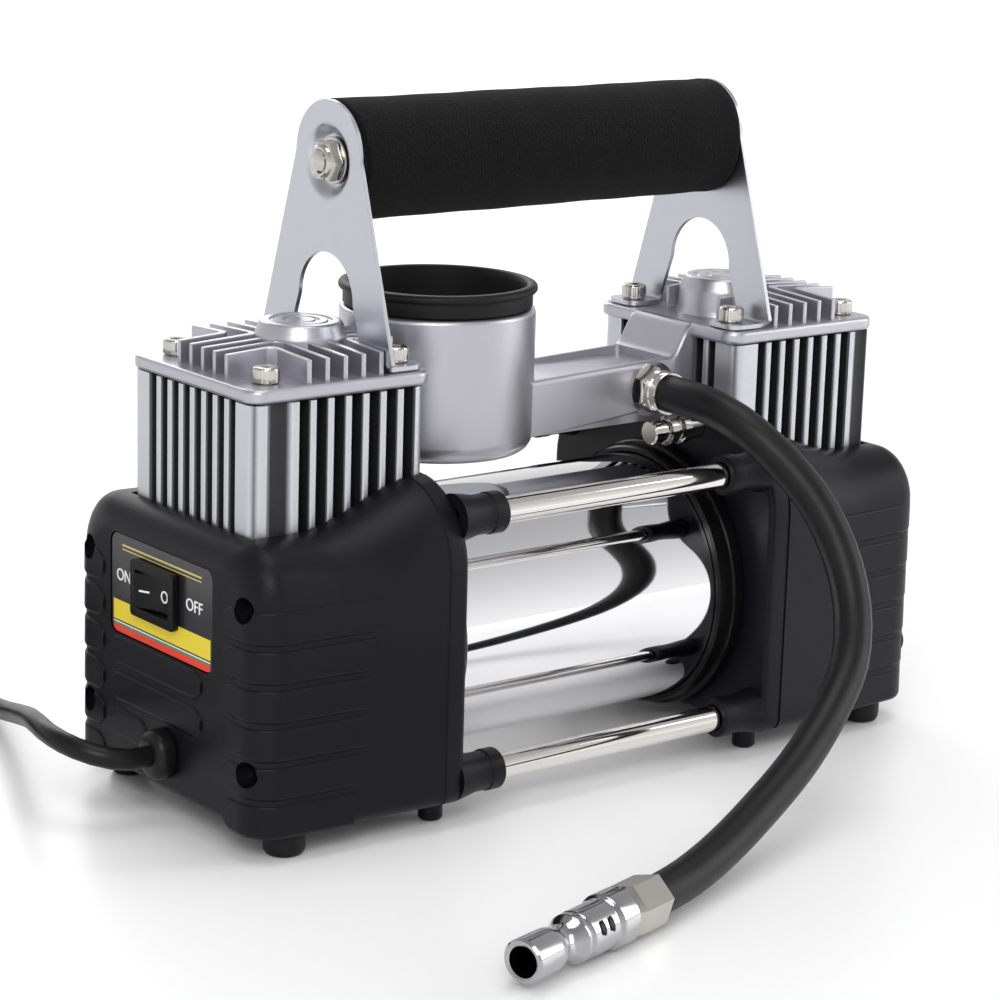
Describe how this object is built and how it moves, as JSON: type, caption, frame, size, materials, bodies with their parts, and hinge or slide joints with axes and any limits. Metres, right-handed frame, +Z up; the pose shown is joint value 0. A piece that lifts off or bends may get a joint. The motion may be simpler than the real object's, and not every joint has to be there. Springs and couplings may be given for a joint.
{
  "type": "twin cylinder air compressor",
  "caption": "Portable 12 V twin cylinder tyre compressor with finned heads, chrome motor, foam carrying handle, gauge cup, air hose and power lead.",
  "frame": {"origin": "on the floor, under the middle of the machine without its hose and lead", "axes": "+X along the motor shaft, away from the switch; -Y towards the hose side; +Z up"},
  "size_m": [0.3102, 0.3475, 0.1827],
  "materials": {
    "housing_plastic": "charcoal black, fine moulded texture",
    "foot_rubber": "matte black",
    "polished_tube": "polished",
    "label_plate": "black with yellow, pale green and red stripes",
    "switch_plastic": "satin black",
    "lead_rubber": "matte black",
    "motor_chrome": "mirror polished",
    "ferrite": "dark grey",
    "winding_core": "steel stack with copper windings",
    "steel": "machined",
    "piston_aluminium": "cast",
    "seal_material": "bronze-brown filled resin",
    "block_aluminium": "satin with bright machined fin edges",
    "cast_aluminium": "satin silver casting",
    "nickel_screw": "nickel plated",
    "gauge_body": "white dial, black figures",
    "gauge_glass": "clear",
    "boot_rubber": "soft black",
    "needle_red": "red",
    "fitting_nickel": "nickel plated",
    "hose_rubber": "ribbed-free black rubber",
    "plug_chrome": "chrome plated",
    "bracket_aluminium": "satin anodised sheet",
    "grip_foam": "fine black foam"
  },
  "bodies": {
    "base": {"left_end_housing": "housing_plastic", "right_end_housing": "housing_plastic", "left_inner_cover": "housing_plastic", "right_inner_cover": "housing_plastic", "left_front_foot": "foot_rubber", "left_rear_foot": "foot_rubber", "right_front_foot": "foot_rubber", "right_rear_foot": "foot_rubber", "front_upper_tie_tube": "polished_tube", "rear_upper_tie_tube": "polished_tube", "front_lower_tie_tube": "polished_tube", "rear_lower_tie_tube": "polished_tube", "switch_panel": "label_plate", "switch_bezel": "switch_plastic", "cable_grommet": "lead_rubber", "motor_can": "motor_chrome", "left_end_bell": "housing_plastic", "right_end_bell": "housing_plastic", "upper_magnet": "ferrite", "lower_magnet": "ferrite", "left_cylinder_block": "block_aluminium", "right_cylinder_block": "block_aluminium", "left_valve_plate": "steel", "right_valve_plate": "steel", "left_cylinder_head": "cast_aluminium", "right_head_casting": "cast_aluminium", "left_outer_front_screw": "nickel_screw", "left_outer_rear_screw": "nickel_screw", "left_inner_front_screw": "nickel_screw", "left_inner_rear_screw": "nickel_screw", "right_outer_front_screw": "nickel_screw", "right_outer_rear_screw": "nickel_screw", "right_inner_front_screw": "nickel_screw", "right_inner_rear_screw": "nickel_screw", "gauge_case": "gauge_body", "gauge_lens": "gauge_glass", "gauge_boot": "boot_rubber", "outlet_fitting": "fitting_nickel", "air_hose": "hose_rubber", "hose_ferrule": "fitting_nickel", "quick_plug": "plug_chrome", "left_handle_bracket": "bracket_aluminium", "right_handle_bracket": "bracket_aluminium", "handle_bolt": "steel", "handle_lock_nut": "fitting_nickel", "foam_grip": "grip_foam", "power_cable": "lead_rubber", "cable_coil": "lead_rubber", "accessory_plug": "switch_plastic"},
    "rotor": {"armature": "winding_core", "motor_shaft": "steel", "left_crank": "steel", "right_crank": "steel"},
    "left_piston_unit": {"left_piston": "piston_aluminium", "left_piston_seal": "seal_material"},
    "right_piston_unit": {"right_piston": "piston_aluminium", "right_piston_seal": "seal_material"},
    "rocker": {"rocker_button": "switch_plastic"},
    "needle": {"gauge_needle": "needle_red"},
    "contact_tip": {"plug_tip": "fitting_nickel"}
  },
  "joints": [
    {"name": "shaft_spin", "type": "hinge", "parent": "base", "child": "rotor", "pos_m": [0, 0, 0.043], "axis": [1, 0, 0], "continuous": true},
    {"name": "left_piston_slide", "type": "slide", "parent": "base", "child": "left_piston_unit", "axis": [0, 0, 1], "range_m": [-0.014, 0]},
    {"name": "right_piston_slide", "type": "slide", "parent": "base", "child": "right_piston_unit", "axis": [0, 0, 1], "range_m": [0, 0.014]},
    {"name": "rocker_tilt", "type": "hinge", "parent": "base", "child": "rocker", "pos_m": [-0.1124, 0.0028, 0.0594], "axis": [0, 0, 1], "range_deg": [-22, 0]},
    {"name": "needle_turn", "type": "hinge", "parent": "base", "child": "needle", "pos_m": [-0.0236, 0.0065, 0.114], "axis": [0, 0, 1], "range_deg": [-270, 0], "stiffness_Nm_per_rad": 0.0002},
    {"name": "tip_press", "type": "slide", "parent": "base", "child": "contact_tip", "axis": [0, 1, 0], "range_m": [0, 0.004], "stiffness_N_per_m": 400}
  ]
}
